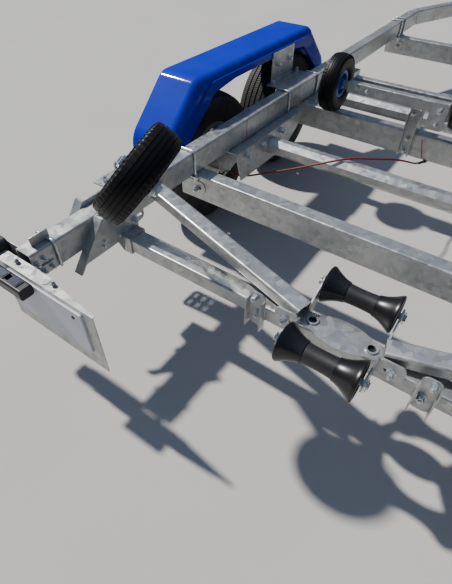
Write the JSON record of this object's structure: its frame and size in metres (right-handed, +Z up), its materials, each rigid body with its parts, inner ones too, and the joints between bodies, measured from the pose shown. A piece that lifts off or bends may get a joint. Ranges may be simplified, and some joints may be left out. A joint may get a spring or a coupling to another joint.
{
  "type": "boat trailer",
  "caption": "Twin-axle galvanised boat trailer with keel rollers, pneumatic side wheels, blue mudguards, overrun coupling, winch post and jockey wheel.",
  "frame": {"origin": "on the ground under the middle of the trailer's length, on its centre line", "axes": "+Z up, +Y forward along the trailer to the coupling, +X to the trailer's right side"},
  "size_m": [2.48, 6.3102, 1.15],
  "materials": {
    "galvanised": "matt hot-dip galvanised",
    "galvanised_rim": "matt galvanised",
    "blue_guard": "glossy",
    "blue_paint": "satin",
    "tyre_rubber": "matt",
    "black_rubber": "satin",
    "white_plate": "blank",
    "lamp_plastic": "glossy",
    "cable_red": "matt"
  },
  "bodies": {
    "chassis": {"side_rails": "galvanised", "drawbars": "galvanised", "crossmembers": "galvanised", "rear_tube": "galvanised", "hangers": "galvanised", "braces": "galvanised", "axles": "galvanised", "mudguards": "blue_guard", "guard_stays": "galvanised", "axle_carriers": "galvanised", "roller_brackets": "galvanised", "roller_saddle": "galvanised", "side_arms": "galvanised", "slotted_plates": "galvanised", "cross_arms": "galvanised", "upright_channels": "galvanised", "lamp_boards": "galvanised", "number_plate": "white_plate", "rear_lamps": "lamp_plastic", "coupling_housing": "galvanised", "bellows": "black_rubber", "coupling_head": "galvanised", "handbrake_lever": "galvanised", "winch_post": "galvanised", "winch": "galvanised", "bow_stop": "black_rubber", "brake_cables": "cable_red", "jockey_outer": "galvanised"},
    "road_wheel_rear_left": {"wheel_rear_left": "galvanised_rim", "tyre_rear_left": "tyre_rubber"},
    "road_wheel_rear_right": {"wheel_rear_right": "galvanised_rim", "tyre_rear_right": "tyre_rubber"},
    "road_wheel_front_left": {"wheel_front_left": "galvanised_rim", "tyre_front_left": "tyre_rubber"},
    "road_wheel_front_right": {"wheel_front_right": "galvanised_rim", "tyre_front_right": "tyre_rubber"},
    "roller_rear": {"keel_roller_rear": "black_rubber"},
    "roller_front": {"keel_roller_front": "black_rubber"},
    "roller_bow": {"keel_roller_bow": "black_rubber"},
    "side_wheel_rear_left": {"side_rim_rear_left": "blue_paint", "side_tyre_rear_left": "tyre_rubber"},
    "side_wheel_rear_right": {"side_rim_rear_right": "blue_paint", "side_tyre_rear_right": "tyre_rubber"},
    "side_wheel_front_left": {"side_rim_front_left": "blue_paint", "side_tyre_front_left": "tyre_rubber"},
    "side_wheel_front_right": {"side_rim_front_right": "blue_paint", "side_tyre_front_right": "tyre_rubber"},
    "inner_roller_left": {"arm_roller_left": "black_rubber"},
    "inner_roller_right": {"arm_roller_right": "black_rubber"},
    "jockey_slider": {"jockey_inner": "galvanised"},
    "jockey_swivel": {"jockey_fork": "galvanised"},
    "jockey_roller": {"jockey_wheel": "black_rubber"}
  },
  "joints": [
    {"name": "road_wheel_rear_left_spin", "type": "hinge", "parent": "chassis", "child": "road_wheel_rear_left", "pos_m": [-1.129, -1.87485, 0.325], "axis": [1, 0, 0], "continuous": true},
    {"name": "road_wheel_rear_right_spin", "type": "hinge", "parent": "chassis", "child": "road_wheel_rear_right", "pos_m": [1.129, -1.87485, 0.325], "axis": [1, 0, 0], "continuous": true},
    {"name": "road_wheel_front_left_spin", "type": "hinge", "parent": "chassis", "child": "road_wheel_front_left", "pos_m": [-1.129, -1.10485, 0.325], "axis": [1, 0, 0], "continuous": true},
    {"name": "road_wheel_front_right_spin", "type": "hinge", "parent": "chassis", "child": "road_wheel_front_right", "pos_m": [1.129, -1.10485, 0.325], "axis": [1, 0, 0], "continuous": true},
    {"name": "keel_roller_rear_spin", "type": "hinge", "parent": "chassis", "child": "roller_rear", "pos_m": [0, -2.82185, 0.49], "axis": [1, 0, 0], "continuous": true},
    {"name": "keel_roller_front_spin", "type": "hinge", "parent": "chassis", "child": "roller_front", "pos_m": [0, -2.54385, 0.49], "axis": [1, 0, 0], "continuous": true},
    {"name": "keel_roller_bow_spin", "type": "hinge", "parent": "chassis", "child": "roller_bow", "pos_m": [0, 0.27515, 0.566], "axis": [1, 0, 0], "continuous": true},
    {"name": "side_wheel_rear_left_spin", "type": "hinge", "parent": "chassis", "child": "side_wheel_rear_left", "pos_m": [-0.544, -2.86885, 0.877], "axis": [-0.724, -0.274, 0.633], "continuous": true},
    {"name": "side_wheel_rear_right_spin", "type": "hinge", "parent": "chassis", "child": "side_wheel_rear_right", "pos_m": [0.544, -2.86885, 0.877], "axis": [0.724, -0.274, 0.633], "continuous": true},
    {"name": "side_wheel_front_left_spin", "type": "hinge", "parent": "chassis", "child": "side_wheel_front_left", "pos_m": [-0.681, -1.31785, 0.625], "axis": [1, 0, 0], "continuous": true},
    {"name": "side_wheel_front_right_spin", "type": "hinge", "parent": "chassis", "child": "side_wheel_front_right", "pos_m": [0.681, -1.31785, 0.625], "axis": [1, 0, 0], "continuous": true},
    {"name": "arm_roller_left_spin", "type": "hinge", "parent": "chassis", "child": "inner_roller_left", "pos_m": [-0.07, -1.27785, 0.625], "axis": [1, 0, 0], "continuous": true},
    {"name": "arm_roller_right_spin", "type": "hinge", "parent": "chassis", "child": "inner_roller_right", "pos_m": [0.07, -1.27785, 0.625], "axis": [1, 0, 0], "continuous": true},
    {"name": "jockey_slide", "type": "slide", "parent": "chassis", "child": "jockey_slider", "axis": [0, 0, 1], "range_m": [-0.1, 0.14]},
    {"name": "jockey_swivel", "type": "hinge", "parent": "jockey_slider", "child": "jockey_swivel", "pos_m": [0.353, 2.27515, 0.24], "axis": [0, 0, 1], "continuous": true},
    {"name": "jockey_wheel_spin", "type": "hinge", "parent": "jockey_swivel", "child": "jockey_roller", "pos_m": [0.353, 2.23015, 0.11], "axis": [1, 0, 0], "continuous": true}
  ]
}
